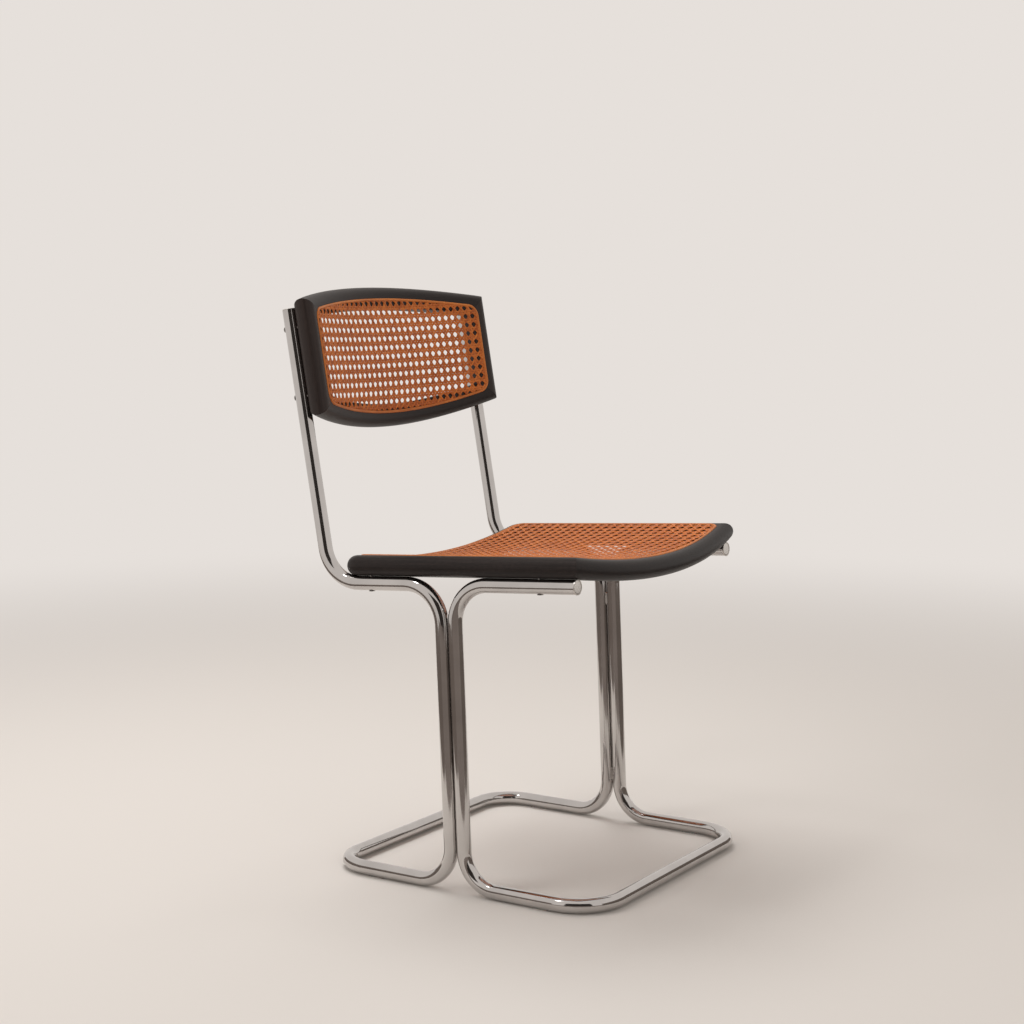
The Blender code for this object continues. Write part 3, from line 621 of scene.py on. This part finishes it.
class Panel:
    """A wooden frame with cane, in its own axes: X across, Y along the tubes, Z out of its face.

    The frame is laid out flat, as (across, along, out), and then bent across the chair.
    """

    def __init__(self, title, ends, axes, low, high, overhang, low_bow, high_bow, high_radius, dish, width,
                 inset, give):
        self.title = title
        self.ends = ends
        self.axes = np.array(axes)
        self.low = low
        self.high = high
        self.half_width = SIDE_SPACING / 2 + overhang
        self.low_bow = low_bow
        self.high_bow = high_bow
        self.high_radius = high_radius
        self.dish = dish
        self.nose = RAIL_THICKNESS / 2
        self.width = width
        self.inset = inset
        self.give = give
        self.straight = self.half_width - self.nose
        slope = float(self.slope(self.straight))
        reach = TUBE_RADIUS + SEAT_GAP + self.nose - (SIDE_SPACING / 2 - self.straight) * math.sin(slope)
        self.lift = reach / math.cos(slope)
        self.stations = np.linspace(-self.half_width, self.half_width, CURVE_POINTS)
        steps = np.diff(self.stations) / np.cos(self.slope((self.stations[1:] + self.stations[:-1]) / 2))
        self.arcs = np.concatenate([[0.0], np.cumsum(steps)]) - steps.sum() / 2

    def unrolled(self, across):
        """Distance from the middle, measured along the frame's curve."""
        return np.interp(across, self.stations, self.arcs)

    def rolled(self, arc):
        """Place across of a distance along the frame's curve."""
        return np.interp(arc, self.arcs, self.stations)

    def given(self, across, along):
        """How far the cane stands out of the frame's curve inside the rails."""
        side = across / (self.half_width - self.width)
        low = self.edge(-1, across) + self.width
        high = self.edge(1, across) - self.width
        end = (2 * along - low - high) / (high - low)
        return self.give * np.maximum(0.0, 1 - side ** 2) * np.maximum(0.0, 1 - end ** 2)

    def edge(self, end, across):
        """Y of the outer edge at the low (-1) or high (1) end."""
        share = 1 - (across / self.straight) ** 2
        return self.low - self.low_bow * share if end < 0 else self.high + self.high_bow * share

    def slope(self, across):
        """Slope of the frame's curve."""
        inside = np.minimum(np.abs(across), self.straight)
        return np.arctan(2 * self.dish * inside / self.straight ** 2)

    def bent(self, flat):
        """World places of an array of flat points."""
        across, along, out = np.asarray(flat).T
        inside = np.minimum(np.abs(across), self.straight)
        beyond = np.abs(across) - inside
        turn = self.slope(across)
        x = np.copysign(inside + beyond * np.cos(turn) - out * np.sin(turn), across)
        drop = self.dish * (1 - (inside / self.straight) ** 2)
        z = self.lift - drop + beyond * np.sin(turn) + out * np.cos(turn)
        return np.stack([x, along, z], axis=1) @ self.axes[:3, :3].T + self.axes[:3, 3]

    def rounded(self, across, along, radius):
        """Turn the frame's square high corners into round ones."""
        centre = self.half_width - radius
        past_side = abs(across) - centre
        past_end = radius - (self.edge(1, across) - along)
        if past_side > 0 and past_end > 0:
            shrink = max(past_side, past_end) / math.hypot(past_side, past_end)
            across = math.copysign(centre + past_side * shrink, across)
            along = self.edge(1, across) - radius + past_end * shrink
        return across, along

    def section(self):
        """Rail section as (depth, out): a half-round outer edge and softened inner edges."""
        points = []
        for step in range(NOSE_STEPS + 1):
            angle = math.pi * (1.5 - step / NOSE_STEPS)
            points.append((self.nose + self.nose * math.cos(angle), self.nose * math.sin(angle)))
        for top, start in ((1, math.pi / 2), (-1, 0.0)):
            for step in range(EDGE_STEPS + 1):
                angle = start - math.pi / 2 * step / EDGE_STEPS
                depth = self.width - INNER_EDGE_RADIUS * (1 - math.cos(angle))
                out = top * (self.nose - INNER_EDGE_RADIUS) + INNER_EDGE_RADIUS * math.sin(angle)
                points.append((depth, out))
        return points

    def spline_loop(self):
        """Flat centre line of the spline cord: four round corners joined by straight sides and bowed ends."""
        out = self.nose + SPLINE_STANDING - SPLINE_RADIUS
        centre = self.half_width - self.inset - SPLINE_CORNER_RADIUS
        points = []
        for quarter, (side, end) in enumerate(((1, 1), (-1, 1), (-1, -1), (1, -1))):
            for step in range(SPLINE_CORNER_STEPS + 1):
                angle = math.pi / 2 * (quarter + step / SPLINE_CORNER_STEPS)
                across = side * centre + SPLINE_CORNER_RADIUS * math.cos(angle)
                depth = self.inset + SPLINE_CORNER_RADIUS * (1 - end * math.sin(angle))
                points.append((across, self.edge(end, across) - end * depth, out))
            far_end = end if side == end else 0
            for step in range(1, RAIL_STEPS):
                if far_end:
                    across = side * centre * (1 - 2 * step / RAIL_STEPS)
                    points.append((across, self.edge(end, across) - end * self.inset, out))
                else:
                    across = side * (centre + SPLINE_CORNER_RADIUS)
                    top = self.edge(1, across) - self.inset - SPLINE_CORNER_RADIUS
                    bottom = self.edge(-1, across) + self.inset + SPLINE_CORNER_RADIUS
                    share = step / RAIL_STEPS if side < 0 else 1 - step / RAIL_STEPS
                    points.append((across, top + (bottom - top) * share, out))
        return points

    def holds(self, arc, along):
        """Whether an unrolled point lies inside the spline cord's centre line."""
        across = float(self.rolled(arc))
        room_side = self.half_width - self.inset - abs(across)
        room_end = min(self.edge(1, across) - along, along - self.edge(-1, across)) - self.inset
        if room_side < 0 or room_end < 0:
            return False
        radius = SPLINE_CORNER_RADIUS
        if room_side < radius and room_end < radius:
            return math.hypot(radius - room_side, radius - room_end) <= radius
        return True

    def reach(self, arc, along, step_across, step_along):
        """How far a strand runs from a point inside until it meets the spline cord."""
        near = 0.0
        far = 1.0
        for _ in range(HALVINGS):
            middle = (near + far) / 2
            if self.holds(arc + step_across * middle, along + step_along * middle):
                near = middle
            else:
                far = middle
        return near


def make_seat():
    """The seat frame, which lies on the upper runs."""
    turn = math.pi / 2 - UPRIGHT_LEAN + RUN_SLOPE
    bend_start = UPRIGHT_REACH / math.cos(RUN_SLOPE) - UPRIGHT_BEND_RADIUS * math.tan(turn / 2)
    axes = ORIGIN_SHIFT @ Matrix.Translation(run_point(0, 0)) @ Matrix.Rotation(-RUN_SLOPE, 4, "X")
    front = -FRONT_RUN_REACH / math.cos(RUN_SLOPE) - SEAT_FRONT_OVERHANG
    rear = bend_start - SEAT_REAR_SETBACK + SEAT_SHAPE["high_radius"]
    return Panel("seat", ("front", "rear"), axes, front, rear, **SEAT_SHAPE)


def make_back():
    """The backrest frame, which is held by the uprights."""
    top = UPRIGHT_LENGTH + BACK_TOP_OVERHANG
    axes = (ORIGIN_SHIFT @ Matrix.Translation(run_point(0, UPRIGHT_REACH))
            @ Matrix.Rotation(math.pi / 2 - UPRIGHT_LEAN, 4, "X"))
    return Panel("back", ("bottom", "top"), axes, top - BACK_HEIGHT, top, **BACK_SHAPE)


def poly_line(curve, points, cyclic=False):
    """Add a line through points to a curve."""
    spline = curve.splines.new("POLY")
    spline.points.add(len(points) - 1)
    for target, point in zip(spline.points, points):
        target.co = (*point, 1.0)
    spline.use_cyclic_u = cyclic


def cord_curve(panel, name, radius):
    """The panel's spline loop as a round cord."""
    curve = bpy.data.curves.new(name, "CURVE")
    curve.dimensions = "3D"
    curve.bevel_depth = radius
    # A bevel has four sides, and two more for each step of its resolution
    curve.bevel_resolution = SPLINE_SIDES // 2 - 2
    poly_line(curve, panel.spline_loop(), cyclic=True)
    return curve


def make_rail(panel, name, place, across_grain, stations, groove):
    """One rail: swept flat, grooved for the spline cord, then bent to the frame's curve."""
    bm = swept(panel.section(), stations)
    for vert in bm.verts:
        across, along, out = place(*vert.co)
        if panel.high_radius > 0:
            across, along = panel.rounded(across, along, panel.high_radius)
        vert.co = (across, along, out)
    mesh = carved(scratch_object(name, mesh_from(bm, name)), groove)
    flat = coordinates(mesh)
    order = (0, 1, 2) if across_grain else (1, 0, 2)
    grain_place = sum(map(ord, name)) % GRAIN_PLACES * GRAIN_SPACING
    set_attribute(mesh, "grain", flat[:, order] + np.array([0.0, grain_place, 0.0]))
    # Painted light of the board: paler where its faces turn to the light, darker for shade
    set_attribute(mesh, "painted_board_light", np.full_like(flat, PAINTED_BOARD_LIGHT.get(name, 0.0)))
    set_coordinates(mesh, panel.bent(flat))
    link_piece(name + "_lacquered", mesh, lacquer, [name])


def make_rails(panel):
    """The two rails across the panel and the two at its sides, mitred and grooved."""
    title = panel.title + "_groove"
    loop = scratch_object("groove_cord", cord_curve(panel, title, SPLINE_RADIUS + GROOVE_CLEARANCE))
    groove = scratch_object(title, evaluated_mesh(loop))
    shares = [2 * step / RAIL_STEPS - 1 for step in range(RAIL_STEPS + 1)]
    corner = []
    if panel.high_radius > 0:
        corner = [1 - panel.high_radius / panel.half_width * step / CORNER_STEPS
                  for step in range(1, CORNER_STEPS + 1)]
    for end, label in zip((-1, 1), panel.ends):
        def place(share, depth, out, end=end):
            across = share * (panel.half_width - depth - MITRE_GAP / 2)
            return across, panel.edge(end, across) - end * depth, out
        extra = corner + [-share for share in corner] if end > 0 else []
        make_rail(panel, f"{panel.title}_{label}_rail", place, True, sorted(shares + extra), groove)
    for side, sign in SIDES.items():
        def place(share, depth, out, sign=sign):
            across = sign * (panel.half_width - depth)
            low = panel.edge(-1, across) + depth + MITRE_GAP / 2
            high = panel.edge(1, across) - depth - MITRE_GAP / 2
            return across, low + (high - low) * (share + 1) / 2, out
        stations = sorted([2 * step / STILE_STEPS - 1 for step in range(STILE_STEPS + 1)] + corner)
        make_rail(panel, f"{panel.title}_side_rail_{side}", place, False, stations, groove)
    bpy.data.objects.remove(groove)


def make_spline_cord(panel):
    """The reed that is driven into the groove over the ends of the cane."""
    name = panel.title + "_spline"
    mesh = evaluated_mesh(scratch_object(name, cord_curve(panel, name, SPLINE_RADIUS)))
    flat = coordinates(mesh)
    line = np.array(panel.spline_loop())
    steps = np.linalg.norm(np.roll(line, -1, axis=0) - line, axis=1)
    lengths = np.concatenate([[0.0], np.cumsum(steps)[:-1]])
    nearest = np.argmin(((flat[:, None, :2] - line[None, :, :2]) ** 2).sum(axis=2), axis=1)
    around = np.arctan2(flat[:, 2] - line[0, 2], np.linalg.norm(flat[:, :2] - line[nearest, :2], axis=1))
    tones = np.full(len(flat), SPLINE_TONE)
    set_attribute(mesh, "strand", np.stack([lengths[nearest], around * SPLINE_RADIUS, tones], axis=1))
    set_coordinates(mesh, panel.bent(flat))
    link_piece(name + "_reed", mesh, spline_reed, [name], STRAND_CREASE)


def strand_curve(name, strands):
    """Flat strands along their points as one curve, on a domed section."""
    section = bpy.data.curves.new(name + "_section", "CURVE")
    section.dimensions = "2D"
    poly_line(section, [(across * STRAND_WIDTH / 2, out * STRAND_THICKNESS, 0.0)
                        for across, out in STRAND_SECTION], cyclic=True)
    curve = bpy.data.curves.new(name, "CURVE")
    curve.dimensions = "3D"
    curve.twist_mode = "Z_UP"
    curve.bevel_mode = "OBJECT"
    curve.bevel_object = scratch_object(name + "_section", section)
    curve.use_fill_caps = True
    for strand in strands:
        poly_line(curve, strand)
    return curve


def strand_points(panel, start, direction, step, height):
    """Points of one strand through a start inside the frame, down into the groove at both ends."""
    ahead = panel.reach(*start, *direction)
    behind = panel.reach(*start, -direction[0], -direction[1])
    first = math.ceil((-behind + END_SETBACK + END_SLOPE) / step)
    last = math.floor((ahead - END_SETBACK - END_SLOPE) / step)
    if last - first < 2:
        return None
    level = panel.nose + WEAVE_HEIGHT
    sunk = panel.nose - END_DROP
    places = [(-behind + END_SETBACK, sunk)]
    places += [(index * step, level + height(index * step)) for index in range(first, last + 1)]
    places.append((ahead - END_SETBACK, sunk))
    return [(float(panel.rolled(start[0] + direction[0] * far)), start[1] + direction[1] * far, out)
            for far, out in places]


def pair_wave(distance, pitch, parity):
    """Height of a strand of a pair, over and under the two strands of each pair that it crosses."""
    share = ((distance / pitch + 0.5) % 1 - 0.5) * pitch / PAIR_OFFSET
    fade = 1.0 if abs(share) <= 1 else max(0.0, 1 - (abs(share) - 1) / 2)
    return parity * PAIR_WAVE * fade * math.sin(math.pi / 2 * max(-1.0, min(1.0, share)))


def lay_pairs(panel, pitches, middle, reach, way):
    """The paired strands that run across (way 0) or along (way 1) the panel."""
    strands = []
    for line in range(-reach, reach + 1):
        for parity in (-1, 1):
            start = list(middle)
            start[1 - way] += line * pitches[1 - way] + parity * PAIR_OFFSET
            if panel.holds(*start):
                lift = parity * (1 - 2 * way)
                strands.append(strand_points(
                    panel, start, (1.0 - way, float(way)), pitches[way] / POINTS_PER_PITCH,
                    lambda far, lift=lift: pair_wave(far, pitches[way], lift)))
    return strands


def lay_diagonals(panel, pitches, middle, reach, sign):
    """The single strands that rise (1) or fall (-1) across the panel."""
    wide, long = pitches
    slant = math.hypot(wide, long) / 2
    direction = (wide / slant / 2, sign * long / slant / 2)
    strands = []
    for line in range(-2 * reach, 2 * reach):
        # The line meets the middle row halfway between two pairs, and is followed from where it is inside
        foot = middle[0] + (line + 0.5) * wide
        for slide in sorted(range(-2 * reach, 2 * reach + 1), key=abs):
            start = (foot + direction[0] * slant * slide, middle[1] + direction[1] * slant * slide)
            if panel.holds(*start):
                flip = sign * (-1 if slide % 2 else 1)
                strands.append(strand_points(
                    panel, start, direction, slant / POINTS_PER_CROSSING,
                    lambda far, flip=flip: flip * DIAGONAL_WAVE * math.cos(math.pi * far / slant)))
                break
    return strands


def strand_marks(layer, place, pitches):
    """Place along and across its strand, and the strand's number, of each point of a layer."""
    wide, long = pitches
    if layer in ("across", "along"):
        pitch = long if layer == "across" else wide
        lengthwise, crosswise = place.T if layer == "across" else place.T[::-1]
        line = np.floor(crosswise / pitch + 0.5)
        strand = 2 * line + (crosswise > line * pitch)
        return lengthwise, np.abs(crosswise - line * pitch) - PAIR_OFFSET, strand
    sign = 1 if layer == "rising" else -1
    slant = math.hypot(wide, long) / 2
    lengthwise = (place[:, 0] * wide + sign * place[:, 1] * long) / slant / 2
    crosswise = place[:, 0] / wide - sign * place[:, 1] / long
    strand = np.floor(crosswise)
    return lengthwise, (crosswise - strand - 0.5) * wide * long / slant / 2, strand


def make_cane(panel, pitches, phases):
    """Cane in octagonal pattern: pairs both ways woven over and under, and a single diagonal each way."""
    row = round(((panel.edge(-1, 0.0) + panel.edge(1, 0.0)) / 2 - phases[1]) / pitches[1])
    middle = (phases[0], phases[1] + row * pitches[1])
    reach = math.ceil(panel.half_width / min(pitches)) + 2
    layers = {"across": lay_pairs(panel, pitches, middle, reach, 0),
              "along": lay_pairs(panel, pitches, middle, reach, 1),
              "rising": lay_diagonals(panel, pitches, middle, reach, 1),
              "falling": lay_diagonals(panel, pitches, middle, reach, -1)}
    # Every strand has a tone of its own; the seed is the pitch in hundredths of a millimetre
    rng = np.random.default_rng(round(pitches[0] * 100000))
    for layer, strands in layers.items():
        name = f"{panel.title}_cane_{layer}"
        item = scratch_object(name, strand_curve(name, [strand for strand in strands if strand]))
        section = item.data.bevel_object
        bm = bmesh.new()
        bm.from_mesh(evaluated_mesh(item))
        bpy.data.objects.remove(section)
        bmesh.ops.remove_doubles(bm, verts=bm.verts, dist=MERGE_DISTANCE)
        mesh = mesh_from(bm, name)
        flat = coordinates(mesh)
        place = np.stack([panel.unrolled(flat[:, 0]), flat[:, 1]], axis=1) - np.array(phases)
        lengthwise, crosswise, strand = strand_marks(layer, place, pitches)
        keys = (strand - strand.min()).astype(int)
        tones = rng.uniform(*STRAND_TONES, keys.max() + 1)[keys]
        set_attribute(mesh, "strand", np.stack([lengthwise, crosswise, tones], axis=1))
        flat[:, 2] += panel.given(flat[:, 0], flat[:, 1])
        set_coordinates(mesh, panel.bent(flat))
        link_piece(name, mesh, panel_cane, [panel.title + "_cane"], STRAND_CREASE)


def screw_profile(head_height):
    """Domed head on a plain shank that reaches through the tube into the rail."""
    shank = 2 * (TUBE_RADIUS + SEAT_GAP) + SCREW_BITE
    dome = []
    for step in range(DOME_STEPS + 1):
        angle = math.pi / 2 * step / DOME_STEPS
        dome.append((SCREW_HEAD_RADIUS * math.sin(angle) ** SCREW_DOME_POWER,
                     head_height * (SCREW_RIM_SHARE + (1 - SCREW_RIM_SHARE) * math.cos(angle))))
    return dome + [(SCREW_HEAD_RADIUS, 0), (SCREW_SHANK_RADIUS, 0), (SCREW_SHANK_RADIUS, -shank), (0, -shank)]


def make_screws(panel, stations, head_height):
    """Screws through the tubes into the side rails, with a cross recess in the domed head."""
    for side, sign in SIDES.items():
        for label, along in stations.items():
            name = f"{panel.title}_screw_{label}_{side}"
            place = (Matrix(panel.axes.tolist())
                     @ Matrix.Translation((sign * SIDE_SPACING / 2, along, -TUBE_RADIUS - SEAT_GAP))
                     @ Matrix.Rotation(math.pi, 4, "X"))
            screw = mesh_from(turned(screw_profile(head_height), place, SCREW_ROUND_STEPS), name)
            slots = []
            for number in range(2):
                turn = Matrix.Rotation(RECESS_TURN + number * math.pi / 2, 4, "Z")
                size = (RECESS_LENGTH, RECESS_WIDTH, head_height * RECESS_SHARE, 1.0)
                bm = bmesh.new()
                bmesh.ops.create_cube(bm, size=1.0, matrix=place @ Matrix.Translation((0, 0, head_height))
                                      @ turn @ Matrix.Diagonal(size))
                slots.append(scratch_object(f"{name}_slot_{number}", mesh_from(bm, name)))
            mesh = carved(scratch_object(name, screw), *slots)
            for slot in slots:
                bpy.data.objects.remove(slot)
            link_piece(name + "_pan_head", mesh, screw_zinc, [name])


def make_glides():
    """Small pads with softened edges, hollowed to fit round the underside of the floor tubes."""
    for name in [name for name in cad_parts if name.startswith("glide")]:
        low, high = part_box(name)
        size = high - low
        middle = (low + high) / 2
        bm = bmesh.new()
        bmesh.ops.create_cube(bm, size=1.0, matrix=Matrix.Translation(middle)
                              @ Matrix.Diagonal((size.x, size.y, size.z, 1.0)))
        bmesh.ops.bevel(bm, geom=bm.edges, offset=GLIDE_EDGE_RADIUS, segments=GLIDE_EDGE_STEPS, profile=0.5,
                        affect="EDGES")
        pad = scratch_object(name, mesh_from(bm, name))
        tube = Matrix.Translation((middle.x, middle.y, FLOOR_TUBE_HEIGHT))
        radius = TUBE_RADIUS + GLIDE_CLEARANCE
        bm = bmesh.new()
        bmesh.ops.create_cone(bm, cap_ends=True, segments=GLIDE_BORE_SIDES, radius1=radius, radius2=radius,
                              depth=size.y * 2, matrix=tube @ Matrix.Rotation(math.pi / 2, 4, "X"))
        bore = scratch_object(name + "_bore", mesh_from(bm, name))
        mesh = carved(pad, bore)
        bpy.data.objects.remove(bore)
        link_piece(name + "_pad", mesh, nylon, [name])


def dress_nodes():
    """Bare beech for the dowels, which are the only CAD nodes that stay."""
    for name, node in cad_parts.items():
        if "dowel" in name:
            node.data.materials.clear()
            node.data.materials.append(beech)


def make_camera():
    """The photograph's view: from the sitter's right, a little above the seat."""
    ahead = Vector((-math.sin(CAMERA_YAW) * math.cos(CAMERA_PITCH),
                    math.cos(CAMERA_YAW) * math.cos(CAMERA_PITCH), -math.sin(CAMERA_PITCH)))
    data = bpy.data.cameras.new("photograph")
    data.sensor_width = CAMERA_SENSOR
    data.lens = CAMERA_LENS
    camera = scratch_object("photograph", data)
    camera.location = CAMERA_PLACE
    camera.rotation_mode = "QUATERNION"
    camera.rotation_quaternion = ahead.to_track_quat("-Z", "Y")
    bpy.context.scene.camera = camera


def make_lamps():
    """Soft rectangular lamps that face the seat, one of which the chrome shows as a spark."""
    for name, (spot, size, power, mirrored) in LAMPS.items():
        data = bpy.data.lights.new(name, "AREA")
        data.shape = "RECTANGLE"
        data.size, data.size_y = size
        data.energy = power
        lamp = scratch_object(name, data)
        lamp.location = spot
        lamp.rotation_mode = "QUATERNION"
        lamp.rotation_quaternion = (LAMP_AIM - Vector(spot)).to_track_quat("-Z", "Y")
        lamp.visible_glossy = mirrored


def make_painted_reflections():
    """Glowing boards that paint dark bands into the chrome as painted reflections, turned to stand round the
    camera's line of sight.
    """
    turn = Matrix.Rotation(CAMERA_YAW - math.pi / 2, 4, "Z")
    for number, (colour, corners) in enumerate(REFLECTION_BOARDS):
        name = f"painted_reflection_board_{number + 1}"
        bm = bmesh.new()
        bm.faces.new([bm.verts.new(turn @ Vector(corner)) for corner in corners])
        board = scratch_object(name, mesh_from(bm, name))
        board.data.materials.append(reflection_glow(name, colour))
        # Only reflections see these boards: their dark glow is a painted reflection
        board.visible_camera = False
        board.visible_diffuse = False
        board.visible_shadow = False
        board.visible_transmission = False


def make_floor():
    """The pale floor, which runs out into the background."""
    bm = bmesh.new()
    bmesh.ops.create_grid(bm, x_segments=1, y_segments=1, size=FLOOR_SIZE)
    floor = scratch_object("studio_floor", mesh_from(bm, "studio_floor"))
    floor.data.materials.append(floor_paint())


def make_world():
    """An even pale world, which is weaker as a light than it looks."""
    world = bpy.data.worlds.new("studio")
    world.use_nodes = True
    tree = world.node_tree
    tree.nodes.clear()
    colour = linear(BACKGROUND_COLOUR)
    light = add_node(tree, "ShaderNodeBackground", {"Color": colour, "Strength": WORLD_LIGHT})
    shown = add_node(tree, "ShaderNodeBackground", {"Color": colour, "Strength": 1.0})
    mixed = add_node(tree, "ShaderNodeMixShader", {"Fac": background_rays(tree),
                                                   1: light.outputs["Background"],
                                                   2: shown.outputs["Background"]})
    add_node(tree, "ShaderNodeOutputWorld", {"Surface": mixed.outputs["Shader"]})
    bpy.context.scene.world = world


make_camera()
make_floor()
make_painted_reflections()
make_lamps()
make_world()
bpy.context.scene.view_settings.view_transform = "Standard"

make_tubes()
make_welds()
make_stoppers()
seat = make_seat()
back = make_back()
for panel in (seat, back):
    make_rails(panel)
    make_spline_cord(panel)
make_cane(seat, *SEAT_WEAVE)
make_cane(back, *BACK_WEAVE)
make_screws(seat, SEAT_SCREWS, SEAT_SCREW_HEAD)
make_screws(back, BACK_SCREWS, BACK_SCREW_HEAD)
make_glides()
dress_nodes()
